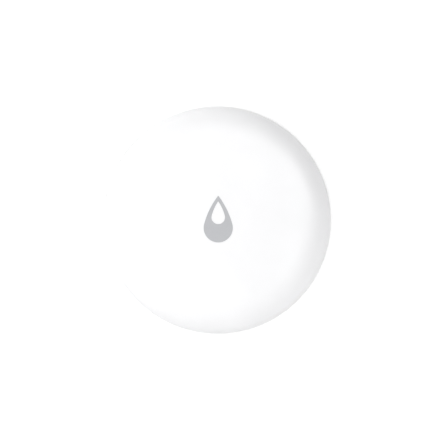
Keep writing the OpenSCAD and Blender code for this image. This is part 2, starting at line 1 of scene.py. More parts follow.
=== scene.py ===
import math
import bmesh
import bpy
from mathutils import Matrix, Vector


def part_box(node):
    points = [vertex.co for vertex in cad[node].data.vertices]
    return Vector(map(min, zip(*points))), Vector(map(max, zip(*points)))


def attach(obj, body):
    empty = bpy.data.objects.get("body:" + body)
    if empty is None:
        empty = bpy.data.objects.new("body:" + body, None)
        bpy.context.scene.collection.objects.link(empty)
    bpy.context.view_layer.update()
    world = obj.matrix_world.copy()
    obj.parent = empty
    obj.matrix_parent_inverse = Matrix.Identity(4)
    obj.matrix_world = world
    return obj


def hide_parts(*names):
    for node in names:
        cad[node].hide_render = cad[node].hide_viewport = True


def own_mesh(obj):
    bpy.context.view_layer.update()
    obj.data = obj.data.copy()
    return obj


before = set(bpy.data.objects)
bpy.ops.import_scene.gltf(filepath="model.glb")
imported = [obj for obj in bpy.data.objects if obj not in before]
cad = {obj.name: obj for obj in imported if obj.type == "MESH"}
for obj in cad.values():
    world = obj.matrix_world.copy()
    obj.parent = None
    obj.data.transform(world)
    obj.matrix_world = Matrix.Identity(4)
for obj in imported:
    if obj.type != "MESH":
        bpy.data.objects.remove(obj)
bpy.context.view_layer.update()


# small helpers for node trees

def tone(red, green, blue):
    # screen colour 0-255 to the linear values that shaders take
    def channel(value):
        value /= 255
        return value / 12.92 if value <= 0.04045 else ((value + 0.055) / 1.055) ** 2.4
    return (channel(red), channel(green), channel(blue), 1.0)


def startFinish(name):
    finish = bpy.data.materials.new(name)
    finish.use_nodes = True
    tree = finish.node_tree
    return finish, tree, tree.nodes["Principled BSDF"]


def feedSockets(tree, node, inputs):
    # another node's output is linked, anything else is set as a plain value
    for key, value in inputs.items():
        if isinstance(value, bpy.types.NodeSocket):
            tree.links.new(value, node.inputs[key])
        else:
            node.inputs[key].default_value = value


def addNode(tree, kind, inputs=None, **settings):
    node = tree.nodes.new(kind)
    for key, value in settings.items():
        setattr(node, key, value)
    feedSockets(tree, node, inputs or {})
    return node


def objectPlace(tree):
    return addNode(tree, "ShaderNodeTexCoord").outputs["Object"]


def axesOf(tree, vector):
    split = addNode(tree, "ShaderNodeSeparateXYZ", {"Vector": vector})
    return [split.outputs[axis] for axis in "XYZ"]


def speckle(tree, place, size, detail):
    inputs = {"Vector": place, "Scale": 1 / size, "Detail": detail}
    return addNode(tree, "ShaderNodeTexNoise", inputs).outputs["Fac"]


def spread(tree, value, low, high, fromLow=0.3, fromHigh=0.7):
    # speckle lies mostly between 0.3 and 0.7
    return addNode(tree, "ShaderNodeMapRange", {
        "Value": value, "From Min": fromLow, "From Max": fromHigh, "To Min": low, "To Max": high,
    }).outputs["Result"]


def mixTones(tree, share, first, second):
    # the mix node has its colours on sockets 6 and 7, and the mixed colour on output 2
    return addNode(tree, "ShaderNodeMix", {0: share, 6: first, 7: second}, data_type="RGBA").outputs[2]


def combine(tree, operation, first, second=0.0):
    return addNode(tree, "ShaderNodeMath", {0: first, 1: second}, operation=operation).outputs[0]


def bumpFrom(tree, height, depth):
    return addNode(tree, "ShaderNodeBump", {"Height": height, "Distance": depth}).outputs["Normal"]


def twoTones(tree, look, clouds):
    return mixTones(tree, spread(tree, clouds, 0, 1), look["toneA"], look["toneB"])


def dress(finish, *names):
    for name in names:
        cad[name].data.materials.clear()
        cad[name].data.materials.append(finish)


# moulded plastics: two close tones in slow clouds, a spark-eroded grain, roughness that wanders a little

def mouldedPlastic(name, look):
    finish, tree, shader = startFinish(name)
    place = objectPlace(tree)
    clouds = speckle(tree, place, look["cloudSize"], detail=3)
    grain = speckle(tree, place, look["grainSize"], detail=2)
    feedSockets(tree, shader, {
        "Base Color": twoTones(tree, look, clouds),
        "Roughness": spread(tree, grain, *look["roughness"]),
        "Normal": bumpFrom(tree, grain, look["grainDepth"]),
        "IOR": look["ior"],
        "Transmission Weight": look.get("clear", 0.0),
        "Subsurface Weight": look.get("depthLight", 0.0),
        "Subsurface Scale": look.get("depthReach", 0.0),
    })
    return finish


shellLook = {
    "toneA": tone(240, 240, 241), "toneB": tone(243, 243, 244), "cloudSize": 0.009,
    "grainSize": 0.00022, "grainDepth": 0.0000015, "roughness": (0.4, 0.47), "ior": 1.5,
}
dress(mouldedPlastic("satinWhiteShell", shellLook), "press_cap", "base_shell", "battery_door")

dropLook = {
    "toneA": tone(182, 183, 186), "toneB": tone(186, 187, 190), "cloudSize": 0.004,
    "grainSize": 0.00016, "grainDepth": 0.000001, "roughness": (0.3, 0.36), "ior": 1.5,
}
dress(mouldedPlastic("smokeGreyDrop", dropLook), "drop_inlay")

guideLook = {
    "toneA": tone(232, 240, 246), "toneB": tone(240, 245, 250), "cloudSize": 0.003,
    "grainSize": 0.0003, "grainDepth": 0.000001, "roughness": (0.05, 0.14), "ior": 1.49, "clear": 0.9,
}
dress(mouldedPlastic("clearGuide", guideLook), "light_guide")

frameLook = {
    "toneA": tone(204, 206, 208), "toneB": tone(214, 215, 216), "cloudSize": 0.006,
    "grainSize": 0.0003, "grainDepth": 0.000004, "roughness": (0.45, 0.58), "ior": 1.5,
}
dress(mouldedPlastic("paleGreyFrame", frameLook), "inner_frame")

ringLook = {
    "toneA": tone(224, 223, 219), "toneB": tone(231, 230, 227), "cloudSize": 0.004,
    "grainSize": 0.00025, "grainDepth": 0.000003, "roughness": (0.4, 0.5), "ior": 1.5,
}
dress(mouldedPlastic("offWhiteRing", ringLook), "membrane_clamp_ring")

gasketLook = {
    "toneA": tone(58, 58, 60), "toneB": tone(70, 70, 72), "cloudSize": 0.002,
    "grainSize": 0.0002, "grainDepth": 0.000003, "roughness": (0.5, 0.62), "ior": 1.5,
}
dress(mouldedPlastic("nylonGasket", gasketLook), "battery_gasket")

chipLook = {
    "toneA": tone(30, 30, 32), "toneB": tone(40, 40, 42), "cloudSize": 0.0012,
    "grainSize": 0.00008, "grainDepth": 0.000004, "roughness": (0.52, 0.7), "ior": 1.55,
}
dress(mouldedPlastic("mouldedBlackChip", chipLook), "radio_chip", "sense_chip", "switch_body")

antennaLook = {
    "toneA": tone(222, 217, 204), "toneB": tone(234, 230, 219), "cloudSize": 0.0015,
    "grainSize": 0.0001, "grainDepth": 0.000003, "roughness": (0.35, 0.5), "ior": 1.6,
}
dress(mouldedPlastic("firedAntenna", antennaLook), "chip_antenna")

ledLook = {
    "toneA": tone(244, 232, 170), "toneB": tone(248, 240, 196), "cloudSize": 0.0005,
    "grainSize": 0.0001, "grainDepth": 0.000001, "roughness": (0.12, 0.22), "ior": 1.5,
    "depthLight": 0.4, "depthReach": 0.0005,
}
dress(mouldedPlastic("paleLamp", ledLook), "status_led")

stemLook = {
    "toneA": tone(146, 96, 62), "toneB": tone(158, 108, 72), "cloudSize": 0.001,
    "grainSize": 0.0001, "grainDepth": 0.000002, "roughness": (0.4, 0.5), "ior": 1.5,
}
dress(mouldedPlastic("brownStem", stemLook), "switch_stem")
print("plastics done")


# rubber: matt, mottled, with a faint moulded skin

def mouldedRubber(name, look):
    finish, tree, shader = startFinish(name)
    place = objectPlace(tree)
    mottle = speckle(tree, place, look["mottleSize"], detail=4)
    skin = speckle(tree, place, look["skinSize"], detail=2)
    feedSockets(tree, shader, {
        "Base Color": twoTones(tree, look, mottle),
        "Roughness": spread(tree, skin, *look["roughness"]),
        "Normal": bumpFrom(tree, skin, look["skinDepth"]),
        "Subsurface Weight": look.get("depthLight", 0.0),
        "Subsurface Scale": look.get("depthReach", 0.0),
    })
    return finish


sealLook = {
    "toneA": tone(34, 34, 36), "toneB": tone(46, 46, 47), "mottleSize": 0.0015,
    "skinSize": 0.0002, "skinDepth": 0.000004, "roughness": (0.62, 0.78),
}
sealFinish = mouldedRubber("blackSeal", sealLook)
dress(sealFinish, "main_seal", "door_seal", "probe_seals")

siliconeLook = {
    "toneA": tone(214, 216, 214), "toneB": tone(226, 227, 225), "mottleSize": 0.003,
    "skinSize": 0.0003, "skinDepth": 0.000003, "roughness": (0.42, 0.55),
    "depthLight": 0.35, "depthReach": 0.0004,
}
siliconeFinish = mouldedRubber("milkySilicone", siliconeLook)
dress(siliconeFinish, "seal_membrane")
print("rubber done")


# metals: fine tool lines, straight or round an axis, and rubbed spots

def toolLines(tree, place, look):
    if "stretch" in look:  # straight lines, drawn out along one axis
        inputs = {"Vector": place, "Scale": look["stretch"]}
        stretched = addNode(tree, "ShaderNodeMapping", inputs).outputs["Vector"]
        return speckle(tree, stretched, look["lineWidth"], detail=3)
    x, y, z = axesOf(tree, place)
    if "pairAt" in look:  # a pair of turned parts, one each side of the middle
        x = combine(tree, "SUBTRACT", combine(tree, "ABSOLUTE", x), look["pairAt"])
    squares = [combine(tree, "MULTIPLY", axis, axis) for axis in (x, y)]
    radius = combine(tree, "SQRT", combine(tree, "ADD", *squares))
    around = addNode(tree, "ShaderNodeCombineXYZ", {"X": radius, "Y": z}).outputs["Vector"]
    return speckle(tree, around, look["lineWidth"], detail=3)


def workedMetal(name, look):
    finish, tree, shader = startFinish(name)
    place = objectPlace(tree)
    lines = toolLines(tree, place, look)
    spots = speckle(tree, place, look["spotSize"], detail=4)
    feedSockets(tree, shader, {
        "Base Color": twoTones(tree, look, spots),
        "Roughness": spread(tree, lines, *look["roughness"]),
        "Normal": bumpFrom(tree, lines, look["lineDepth"]),
        "Metallic": 1.0,
    })
    return finish


probeLow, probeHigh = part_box("probe_screws")
probeX = probeHigh.x - (probeHigh.y - probeLow.y) / 2  # middle of the right-hand head

probeLook = {
    "toneA": tone(206, 204, 199), "toneB": tone(218, 216, 212), "pairAt": probeX,
    "lineWidth": 0.00006, "lineDepth": 0.000002, "spotSize": 0.0008, "roughness": (0.16, 0.3),
}
probeFinish = workedMetal("turnedNickel", probeLook)
dress(probeFinish, "probe_screws")

standoffLook = {
    "toneA": tone(206, 166, 92), "toneB": tone(220, 184, 112), "pairAt": probeX,
    "lineWidth": 0.00008, "lineDepth": 0.000002, "spotSize": 0.001, "roughness": (0.2, 0.36),
}
dress(workedMetal("turnedBrass", standoffLook), "probe_standoffs")

cellLook = {
    "toneA": tone(190, 191, 193), "toneB": tone(203, 204, 205),
    "lineWidth": 0.00012, "lineDepth": 0.0000006, "spotSize": 0.002, "roughness": (0.27, 0.34),
}
dress(workedMetal("pressedCellSteel", cellLook), "battery_can", "battery_negative_lid")

screwLook = {
    "toneA": tone(176, 178, 182), "toneB": tone(196, 197, 199), "stretch": (1.0, 1.0, 6.0),
    "lineWidth": 0.0002, "lineDepth": 0.000002, "spotSize": 0.0006, "roughness": (0.28, 0.44),
}
screwFinish = workedMetal("zincScrew", screwLook)
dress(screwFinish, "frame_screws")

stripLook = {
    "toneA": tone(186, 187, 189), "toneB": tone(202, 203, 204), "stretch": (0.15, 1.0, 1.0),
    "lineWidth": 0.00012, "lineDepth": 0.000001, "spotSize": 0.0008, "roughness": (0.22, 0.36),
}
dress(workedMetal("rolledStrip", stripLook), "switch_cover", "switch_terminals", "clock_crystal")

goldLook = {
    "toneA": tone(222, 186, 104), "toneB": tone(232, 200, 124), "stretch": (1.0, 0.2, 1.0),
    "lineWidth": 0.00015, "lineDepth": 0.000001, "spotSize": 0.001, "roughness": (0.18, 0.3),
}
goldFinish = workedMetal("goldContact", goldLook)
dress(goldFinish, "negative_contact", "positive_contact")

tinLook = {
    "toneA": tone(196, 198, 201), "toneB": tone(214, 215, 217), "stretch": (1.0, 1.0, 1.0),
    "lineWidth": 0.0004, "lineDepth": 0.000001, "spotSize": 0.0006, "roughness": (0.26, 0.36),
}
solderFinish = workedMetal("brightSolder", tinLook)
print("metals done")


# the board: green mask over glass cloth and copper areas

boardLook = {  # the pour is the copper area that shows faintly through the mask
    "mask": tone(23, 94, 56), "pour": tone(27, 101, 60), "core": tone(196, 186, 138),
    "pourSize": 0.006, "pourEdge": (0.46, 0.5), "weaveScale": 750, "weaveWobble": 0.4,
    "weaveDetail": 1.0, "weaveDepth": 0.000006, "roughness": (0.24, 0.36), "levelFrom": 0.5,
}


def boardFinish(look):
    finish, tree, shader = startFinish("maskedBoard")
    place = objectPlace(tree)
    threads = {
        "Vector": place, "Scale": look["weaveScale"],
        "Distortion": look["weaveWobble"], "Detail": look["weaveDetail"],
    }
    warp, weft = (addNode(tree, "ShaderNodeTexWave", threads, bands_direction=axis) for axis in "XY")
    weave = combine(tree, "MULTIPLY", warp.outputs["Fac"], weft.outputs["Fac"])
    pour = spread(tree, speckle(tree, place, look["pourSize"], detail=0), 0, 1, *look["pourEdge"])
    normal = addNode(tree, "ShaderNodeNewGeometry").outputs["Normal"]
    level = combine(tree, "ABSOLUTE", axesOf(tree, normal)[2])
    face = combine(tree, "GREATER_THAN", level, look["levelFrom"])  # the cut edge shows the bare core
    masked = mixTones(tree, pour, look["mask"], look["pour"])
    feedSockets(tree, shader, {
        "Base Color": mixTones(tree, face, look["core"], masked),
        "Roughness": spread(tree, weave, *look["roughness"], 0, 1),
        "Normal": bumpFrom(tree, combine(tree, "ADD", weave, pour), look["weaveDepth"]),
    })
    return finish


dress(boardFinish(boardLook), "main_board")

runLook = {
    "toneA": tone(36, 122, 72), "toneB": tone(46, 134, 82), "cloudSize": 0.002,
    "grainSize": 0.0002, "grainDepth": 0.000002, "roughness": (0.24, 0.34), "ior": 1.5,
}
runFinish = mouldedPlastic("maskedRuns", runLook)

passiveLook = {  # each part lies within one step round the board
    "toneA": tone(150, 116, 82), "toneB": tone(96, 84, 76), "stepFrom": 0.6, "stepDegrees": 9,
    "grainSize": 0.00008, "grainDepth": 0.000002, "roughness": (0.3, 0.45),
}


def passiveFinish(look):
    finish, tree, shader = startFinish("firedPassives")
    place = objectPlace(tree)
    x, y = axesOf(tree, place)[:2]
    angle = combine(tree, "SUBTRACT", combine(tree, "ARCTAN2", y, x), math.radians(look["stepFrom"]))
    count = combine(tree, "FLOOR", combine(tree, "DIVIDE", angle, math.radians(look["stepDegrees"])))
    each = addNode(tree, "ShaderNodeTexWhiteNoise", {"W": count}, noise_dimensions="1D").outputs["Value"]
    grain = speckle(tree, place, look["grainSize"], detail=2)
    feedSockets(tree, shader, {
        "Base Color": mixTones(tree, each, look["toneA"], look["toneB"]),  # every part has its own tone
        "Roughness": spread(tree, grain, *look["roughness"]),
        "Normal": bumpFrom(tree, grain, look["grainDepth"]),
    })
    return finish


dress(passiveFinish(passiveLook), "board_passives")
print("board done")


# mesh helpers for the pieces that are modelled here

meshRules = {  # a rounded corner takes at most cornerShare of the shorter edge beside it
    "weldGap": 0.000001, "sharpFrom": math.radians(40), "cornerSteps": 4, "cornerShare": 1 / 2.1,
    "straightFrom": -0.95,  # cosine between two edges that run on almost straight
}


def makePiece(name, shape, finish, body="housing"):
    bmesh.ops.recalc_face_normals(shape, faces=shape.faces[:])
    mesh = bpy.data.meshes.new(name)
    shape.to_mesh(mesh)
    shape.free()
    mesh.shade_smooth()
    mesh.set_sharp_from_angle(angle=meshRules["sharpFrom"])
    mesh.materials.append(finish)
    piece = bpy.data.objects.new(name, mesh)
    bpy.context.scene.collection.objects.link(piece)
    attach(piece, body)
    return piece


def weld(shape):
    bmesh.ops.remove_doubles(shape, verts=shape.verts[:], dist=meshRules["weldGap"])


def polar(radius, degrees):
    return Vector((math.cos(math.radians(degrees)), math.sin(math.radians(degrees)))) * radius


def polarOf(place, near=180):
    # radius and degrees of a flat place, with the full turns that bring the degrees nearest to near
    degrees = math.degrees(math.atan2(place.y, place.x))
    return place.length, degrees + 360 * round((near - degrees) / 360)


def roundCorners(outline, radius):
    steps = meshRules["cornerSteps"]
    rounded = []
    for i, point in enumerate(outline):
        corner = Vector(point)
        before, after = Vector(outline[i - 1]) - corner, Vector(outline[(i + 1) % len(outline)]) - corner
        back, ahead = before.normalized(), after.normalized()
        if corner.x == 0 or back.dot(ahead) < meshRules["straightFrom"]:  # on the axis or along a curve
            rounded.append(corner)
            continue
        reach = min(radius, min(before.length, after.length) * meshRules["cornerShare"])
        first, last = corner + back * reach, corner + ahead * reach
        for step in range(steps + 1):
            share = step / steps
            rounded.append(first.lerp(corner, share).lerp(corner.lerp(last, share), share))
    return rounded


def lathe(shape, outline, turns, middle=Vector((0, 0))):
    # a closed outline of (out from the axis, up) points, turned once round an upright axis
    rings = []
    for turn in range(turns):
        ray = polar(1, 360 * turn / turns)
        rings.append([shape.verts.new((*(middle + ray * point.x), point.y)) for point in outline])
    sides = [(i, (i + 1) % len(outline)) for i in range(len(outline))]
    for ring, following in zip(rings, rings[1:] + rings[:1]):
        for i, j in sides:
            if outline[i].x > 0 or outline[j].x > 0:  # no face along the axis itself
                shape.faces.new((ring[i], following[i], following[j], ring[j]))
    weld(shape)


def skinRows(shape, rows, closed=False):
    # rows of (flat place, up) points, skinned from row to row and back to the first, or with both ends shut
    rings = [[shape.verts.new((*flat, up)) for flat, up in row] for row in rows]
    if closed:
        rings.append(rings[0])
    else:
        shape.faces.new(rings[0])
        shape.faces.new(rings[-1])
    for first, second in zip(rings, rings[1:]):
        for i in range(len(first)):
            j = (i + 1) % len(first)
            shape.faces.new((first[i], first[j], second[j], second[i]))


def addBlock(shape, middle, along, halfAlong, halfAcross, low, top):
    long, wide = along * halfAlong, Vector((-along.y, along.x)) * halfAcross
    corners = [middle - long - wide, middle + long - wide, middle + long + wide, middle - long + wide]
    skinRows(shape, [[(corner, up) for corner in corners] for up in (low, top)])


def addDisc(shape, middle, radius, low, top, steps):
    edge = [middle + polar(radius, 360 * step / steps) for step in range(steps)]
    skinRows(shape, [[(place, up) for place in edge] for up in (low, top)])


def addCollar(shape, middle, inner, outer, low, top, steps):
    section = ((inner, low), (outer, low), (outer, top), (inner, top))
    rays = [polar(1, 360 * step / steps) for step in range(steps)]
    skinRows(shape, [[(middle + ray * across, up) for across, up in section] for ray in rays], closed=True)


def looseParts(node, radial=True):
    # every loose block of a node, in order round the middle: its place, flat axes, half sizes and heights
    # the out axis points away from the middle of the object, or along X when radial is off
    shape = bmesh.new()
    shape.from_mesh(cad[node].data)
    weld(shape)
    seen, parts = set(), []
    for start in shape.verts[:]:
        if start in seen:
            continue
        seen.add(start)
        waiting, corners = [start], []
        while waiting:
            corner = waiting.pop()
            corners.append(corner.co.copy())
            for edge in corner.link_edges:
                other = edge.other_vert(corner)
                if other not in seen:
                    seen.add(other)
                    waiting.append(other)
        xs, ys, zs = zip(*corners)
        middle = Vector(((min(xs) + max(xs)) / 2, (min(ys) + max(ys)) / 2))
        out = middle.normalized() if radial else Vector((math.copysign(1, middle.x), 0))
        side = Vector((-out.y, out.x))
        parts.append({
            "middle": middle, "out": out, "side": side, "low": min(zs), "top": max(zs),
            "halfOut": max((corner.xy - middle).dot(out) for corner in corners),
            "halfSide": max((corner.xy - middle).dot(side) for corner in corners),
        })
    shape.free()
    return sorted(parts, key=lambda part: polarOf(part["middle"])[1])


def beside(part, flank, offset=0.0, beyond=0.0):
    # a place at one flank of a loose part, and the way that the flank faces
    ahead, along, half = {
        "out": (part["out"], part["side"], part["halfOut"]),
        "in": (-part["out"], part["side"], part["halfOut"]),
        "left": (part["side"], part["out"], part["halfSide"]),
        "right": (-part["side"], part["out"], part["halfSide"]),
    }[flank]
    return part["middle"] + ahead * (half + beyond) + along * offset, ahead


# the silicone key over the switch: thick rim under the clamp ring, thin rolled web, stiff button, small nub

keyLook = {
    "rimThick": 0.00045, "rimInner": 0.00555, "webThick": 0.00025, "webDip": 0.00009, "webSteps": 16,
    "stiffRadius": 0.0026, "buttonRadius": 0.002, "nubRadius": 0.0012, "corner": 0.00014, "turns": 96,
    "keepPressed": 0.64,  # share of its height that is left under the pressed cap
}


def makeKey(look):
    low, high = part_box("seal_membrane")
    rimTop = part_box("membrane_clamp_ring")[0].z
    seat = rimTop - look["rimThick"]
    span = look["rimInner"] - look["stiffRadius"]
    web = []
    for step in range(look["webSteps"] + 1):
        share = step / look["webSteps"]
        dip = look["webDip"] * (1 - math.cos(2 * math.pi * share)) / 2
        web.append((look["stiffRadius"] + span * share, rimTop - dip))
    under = [(across, up - look["webThick"]) for across, up in reversed(web)]
    button = [(0, high.z), (look["buttonRadius"], high.z), (look["buttonRadius"], rimTop)]
    rim = [(high.x, rimTop), (high.x, seat), (look["rimInner"], seat)]
    nub = [(look["stiffRadius"], seat), (look["nubRadius"], seat), (look["nubRadius"], low.z), (0, low.z)]
    shape = bmesh.new()
    lathe(shape, roundCorners(button + web + rim + under + nub, look["corner"]), look["turns"])
    key = makePiece("siliconeKey", shape, siliconeFinish)
    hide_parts("seal_membrane")
    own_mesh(key)


makeKey(keyLook)

# rubber seals: a four-lobed ring between frame and base, round rings with a mould line on door and probes

sealSection = {"steps": 32, "mouldLinePower": 12}
sealRings = {  # fill and depth of the lobes or the mould line are shares of the half height
    "lobedSeal": {
        "node": "main_seal", "body": "housing", "lobes": 4, "fill": 1.05, "depth": 0.19, "turns": 180,
    },
    "doorRing": {
        "node": "door_seal", "body": "door", "lobes": 0, "fill": 1.0, "depth": 0.04, "turns": 144,
    },
    "probeRings": {
        "node": "probe_seals", "body": "housing", "lobes": 0, "fill": 1.0, "depth": 0.05, "turns": 72,
    },
}


def makeSeal(name, look):
    shape = bmesh.new()
    for ring in looseParts(look["node"], radial=False):
        half = (ring["top"] - ring["low"]) / 2
        middle = Vector((ring["halfOut"] - half, ring["low"] + half))
        outline = []
        for step in range(sealSection["steps"]):
            angle = 2 * math.pi * step / sealSection["steps"]
            if look["lobes"]:  # they stand on the diagonals and fill the square groove
                swell = -math.cos(look["lobes"] * angle)
            else:  # round, with the mould line inside and outside
                swell = math.cos(angle) ** sealSection["mouldLinePower"] - 1
            reach = half * (look["fill"] + look["depth"] * swell)
            outline.append(middle + Vector((math.cos(angle), math.sin(angle))) * reach)
        lathe(shape, outline, look["turns"], ring["middle"])
    seal = makePiece(name, shape, sealFinish, look["body"])
    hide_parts(look["node"])


for name, look in sealRings.items():
    makeSeal(name, look)
print("soft pieces done")


# screw threads, cut as one ridge that winds up each shank

ridgeLook = {  # foot and crest are half widths, as shares of the pitch
    "foot": 0.36, "crest": 0.05, "overlap": 0.00005,
    "stepsPerTurn": 28, "runOutTurns": 0.5, "leastRise": 0.05,
}
screwThreads = {  # from and to are heights above the lowest point of the screw
    "frame_screws": {
        "shank": 0.0008, "depth": 0.00014, "pitch": 0.0006, "from": 0.0002, "to": 0.00335,
        "finish": screwFinish, "slot": "screw_steel",
    },
    "probe_screws": {
        "shank": 0.00125, "depth": 0.0001, "pitch": 0.00045, "from": 0.0024, "to": 0.0062,
        "finish": probeFinish, "slot": "probe_steel",
    },
}


def addThread(shape, part, screw, ridge):
    perTurn = ridge["stepsPerTurn"]
    steps = round((screw["to"] - screw["from"]) / screw["pitch"] * perTurn)
    runOut = ridge["runOutTurns"] * perTurn
    foot, crest = ridge["foot"] * screw["pitch"], ridge["crest"] * screw["pitch"]
    inner = screw["shank"] - ridge["overlap"]
    rows = []
    for step in range(steps + 1):
        rise = max(min(1, step / runOut, (steps - step) / runOut), ridge["leastRise"])  # fades at both ends
        outer = screw["shank"] + screw["depth"] * rise
        ray = polar(1, 360 * step / perTurn)
        up = part["low"] + screw["from"] + screw["pitch"] * step / perTurn
        section = ((inner, up - foot), (outer, up - crest), (outer, up + crest), (inner, up + foot))
        rows.append([(part["middle"] + ray * across, height) for across, height in section])
    skinRows(shape, rows)


for node, screw in screwThreads.items():
    threads = bmesh.new()
    for part in looseParts(node):
        addThread(threads, part, screw, ridgeLook)
    makePiece(node + "_thread", threads, screw["finish"])
print("threads done")


# copper on the board: pads beside the chips, runs under the mask, vias to the ground side

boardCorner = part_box("main_board")[1]
boardTop, boardRadius = boardCorner.z, boardCorner.x
copperLook = {
    "runWidth": 0.00018, "runRise": 0.00002, "arcStep": 3, "tightestCorner": 0.5,
    "padLong": 0.00045, "padWide": 0.00026, "padRise": 0.00003,
    "viaInner": 0.00015, "viaOuter": 0.00032, "viaBeyond": 0.0002, "viaSteps": 20,
}
padTop = boardTop + copperLook["padRise"]
pads, runs, vias = bmesh.new(), bmesh.new(), bmesh.new()


def addRun(*stops):
    # stops are (radius, degrees); between two stops the run is an arc, a ray or a spiral
    path = [polar(*stops[0])]
    for (radiusA, angleA), (radiusB, angleB) in zip(stops, stops[1:]):
        steps = max(1, math.ceil(abs(angleB - angleA) / copperLook["arcStep"]))
        for step in range(1, steps + 1):
            share = step / steps
            path.append(polar(radiusA + (radiusB - radiusA) * share, angleA + (angleB - angleA) * share))
    low, top = boardTop, boardTop + copperLook["runRise"]
    rows = []
    for i, here in enumerate(path):
        came = (here - path[i - 1]).normalized() if i else (path[1] - here).normalized()
        goes = (path[i + 1] - here).normalized() if i + 1 < len(path) else came
        ahead = (came + goes).normalized()
        lean = max(copperLook["tightestCorner"], ahead.dot(came))  # keeps the full width round a corner
        aside = Vector((-ahead.y, ahead.x)) * (copperLook["runWidth"] / 2 / lean)
        rows.append([(here - aside, low), (here + aside, low), (here + aside, top), (here - aside, top)])
    skinRows(runs, rows)


def runRayFirst(start, turn, stop):
    addRun(start, turn, (stop[0], turn[1]), stop)


def runArcFirst(start, turn, stop):
    addRun(start, turn, (turn[0], stop[1]), stop)


def addVia(radius, degrees):
    inner, outer, steps = (copperLook[key] for key in ("viaInner", "viaOuter", "viaSteps"))
    addCollar(vias, polar(radius, degrees), inner, outer, boardTop, padTop, steps)


def runToVia(*stops, reach):
    radius, degrees = stops[-1]
    addRun(*stops, (radius + reach, degrees))
    addVia(radius + reach + math.copysign(copperLook["viaBeyond"], reach), degrees)


chipPads = {
    "radio_chip": {"count": 10, "pitch": 0.0005, "flanks": ("left", "right", "out", "in")},
    "sense_chip": {"count": 3, "pitch": 0.00095, "flanks": ("left", "right")},
}
chips = {node: looseParts(node)[0] for node in chipPads}


def padRow(node, flank, beyond):
    # places of the pads along one flank of a chip, and the way that the flank faces
    count, pitch = chipPads[node]["count"], chipPads[node]["pitch"]
    return [beside(chips[node], flank, (i - (count - 1) / 2) * pitch, beyond) for i in range(count)]


def padStop(node, flank, number, near=180):
    # where a run ends on a pad
    return polarOf(padRow(node, flank, copperLook["padLong"] / 2)[number][0], near)


def addChipPads(node):
    halfLong, halfWide = copperLook["padLong"] / 2, copperLook["padWide"] / 2
    for flank in chipPads[node]["flanks"]:
        for place, ahead in padRow(node, flank, halfLong / 2):  # a quarter of each pad is under the chip
            addBlock(pads, place, ahead, halfLong, halfWide, boardTop, padTop)


for node in chipPads:
    addChipPads(node)

# runs from the two rows of small parts

rowLeads = {
    # degrees from a part's middle to its end and to the turn of its run, the reach to its ground via,
    # and how many parts have a run to each chip
    "upper": {"end": 3.5, "turn": 3.6, "viaReach": -0.0009, "toRadio": 6},
    "lower": {"end": 2.7, "turn": 3.4, "viaReach": 0.0009, "toSense": 2, "toRadio": 3},
}


def leadsOf(part, leads):
    # the end of a part and the turn of its run, before and after its middle
    radius, angle = polarOf(part["middle"])
    return [[(radius, angle + way * leads[key]) for key in ("end", "turn")] for way in (-1, 1)]


def wireUpperRow(parts, leads):
    # signals to the radio chip, and a ground via on the other end
    for i, part in enumerate(parts):
        before, after = leadsOf(part, leads)
        if i < leads["toRadio"]:
            runRayFirst(*before, padStop("radio_chip", "left", i + 1))
        runToVia(*after, reach=leads["viaReach"])


def wireLowerRow(parts, leads):
    # the first parts serve the sense chip, the last ones the radio chip
    for i, part in enumerate(parts):
        before, after = leadsOf(part, leads)
        number = i + leads["toRadio"] - len(parts)
        if i < leads["toSense"]:
            runRayFirst(*before, padStop("sense_chip", "left", leads["toSense"] - 1 - i))
        if number >= 0:
            runRayFirst(*after, padStop("radio_chip", "right", number + 1, near=after[0][1]))
        else:
            runToVia(*after, reach=leads["viaReach"])


passives = looseParts("board_passives")
rowLength = len(passives) // 2
wireUpperRow(passives[:rowLength], rowLeads["upper"])
wireLowerRow(passives[rowLength:], rowLeads["lower"])

# runs from the single parts: out by a reach and round by a turn in degrees, then along an arc to a pad

crystalRoute = {"lead": 0.0007, "pads": (5, 7)}
antennaRoute = {"reach": 0.0009, "turn": 2, "pad": 5}
switchRoute = {"reach": 0.0006, "turn": 4, "pad": 5, "viaReach": 0.0016}
ledRoute = {"radius": 0.0066, "turn": 4, "pad": 1}
antenna = looseParts("chip_antenna")[0]


def wireCrystal(route):
    crystal = looseParts("clock_crystal")[0]
    for way, number in zip((-1, 1), route["pads"]):
        start = polarOf(beside(crystal, "left", way * route["lead"])[0])
        addRun(start, padStop("radio_chip", "right", number))


def wireAntenna(route):
    radius, angle = antenna["middle"].length, polarOf(beside(antenna, "right")[0])[1]
    turn = (radius + route["reach"], angle - route["turn"])
    runArcFirst((radius, angle), turn, padStop("radio_chip", "out", route["pad"]))


def wireSwitch(route):
    for i, terminal in enumerate(looseParts("switch_terminals", radial=False)):
        radius, angle = polarOf(beside(terminal, "out")[0])
        if i == 0:  # the key's signal, the other three are ground
            turn = (radius + route["reach"], angle + route["turn"])
            runArcFirst((radius, angle), turn, padStop("radio_chip", "in", route["pad"]))
        else:
            runToVia((radius, angle), reach=route["viaReach"])


def wireLed(route):
    start = polarOf(beside(looseParts("status_led")[0], "left")[0])
    turn = (route["radius"], start[1] + route["turn"])
    runArcFirst(start, turn, padStop("radio_chip", "in", route["pad"], near=turn[1]))


wireCrystal(crystalRoute)
wireAntenna(antennaRoute)
wireSwitch(switchRoute)
wireLed(ledRoute)

# vias round the edge of the board, clear of the antenna and the probes, and a row of test pads

edgeVias = {"inset": 0.0007, "step": 8, "antennaClear": 24, "probeClear": 7}
testPads = {"radius": 0.0005, "at": 0.009, "from": 318, "step": 8.5, "count": 5, "steps": 28}


